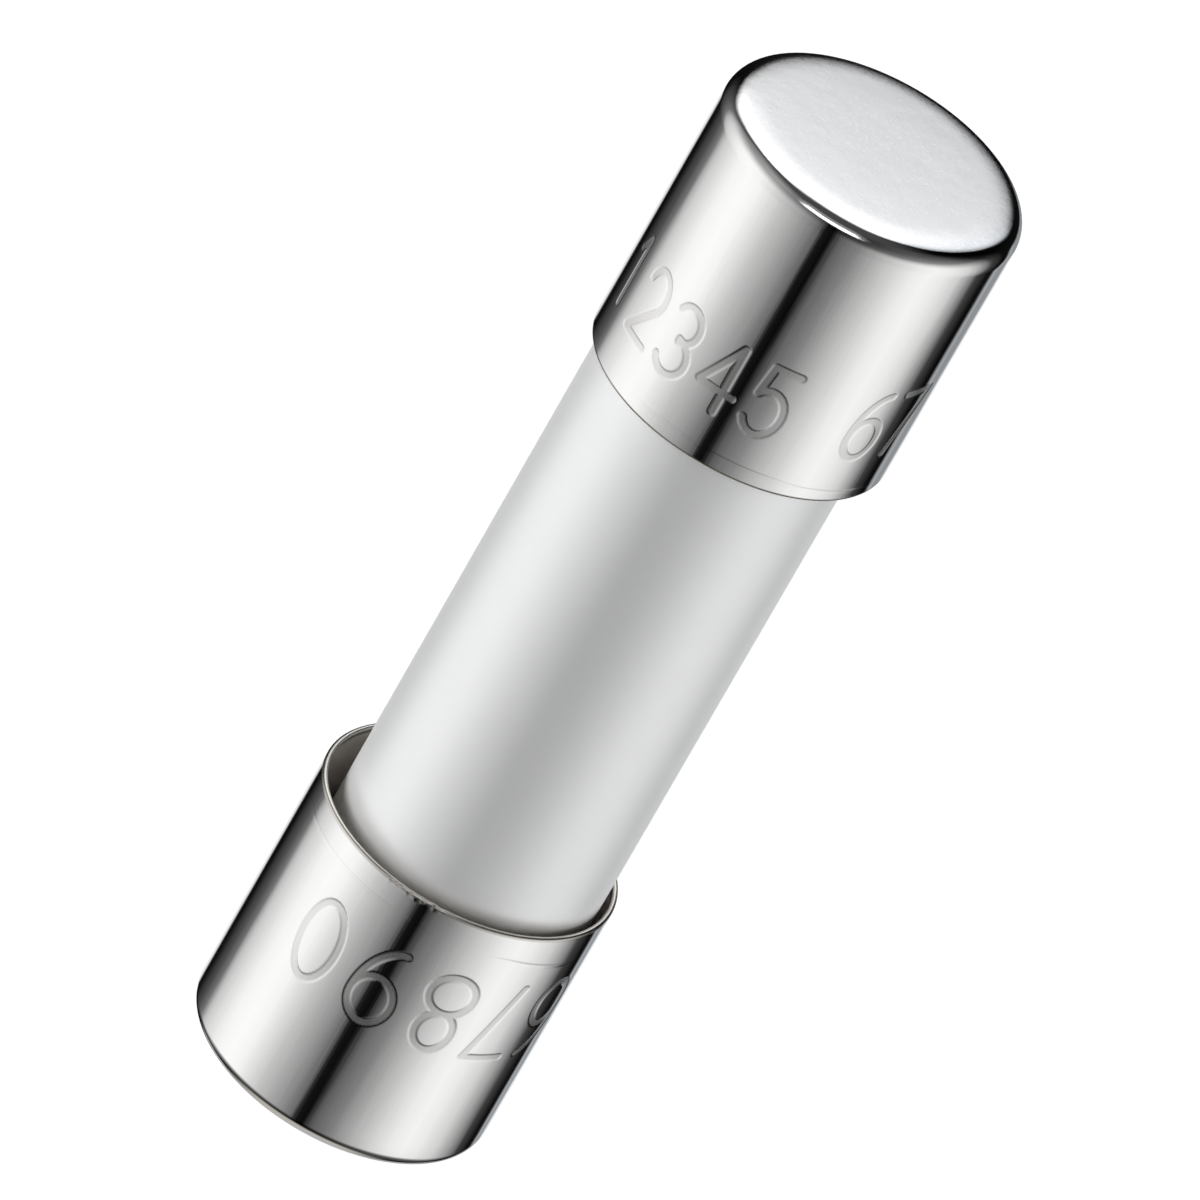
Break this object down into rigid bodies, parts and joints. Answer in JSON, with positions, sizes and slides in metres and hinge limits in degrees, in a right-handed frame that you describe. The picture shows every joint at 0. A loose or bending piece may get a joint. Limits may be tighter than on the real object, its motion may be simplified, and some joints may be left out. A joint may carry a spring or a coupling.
{
  "type": "ceramic cartridge fuse",
  "caption": "Small ceramic cartridge fuse: a white ceramic tube closed by drawn nickel-plated end caps, with a wound wire element in quartz sand.",
  "frame": {"origin": "middle of the fuse's footprint on the plane of the bottom cap's flat end face", "axes": "+Z runs along the fuse from the bottom cap to the top cap; the caps sit off the tube's axis along X, the top one to +X and the bottom one to -X"},
  "size_m": [0.0056, 0.0052, 0.0199],
  "materials": {
    "ceramic": "satin",
    "cap_metal": "polished",
    "element_wire": "satin",
    "fibre_core": "matte",
    "solder": "satin",
    "sand": "matte"
  },
  "bodies": {
    "root": {"ceramic_tube": "ceramic", "end_cap_top": "cap_metal", "end_cap_bottom": "cap_metal", "fuse_wire": "element_wire", "element_core": "fibre_core", "solder_top": "solder", "solder_bottom": "solder", "sand_fill": "sand"}
  },
  "joints": []
}
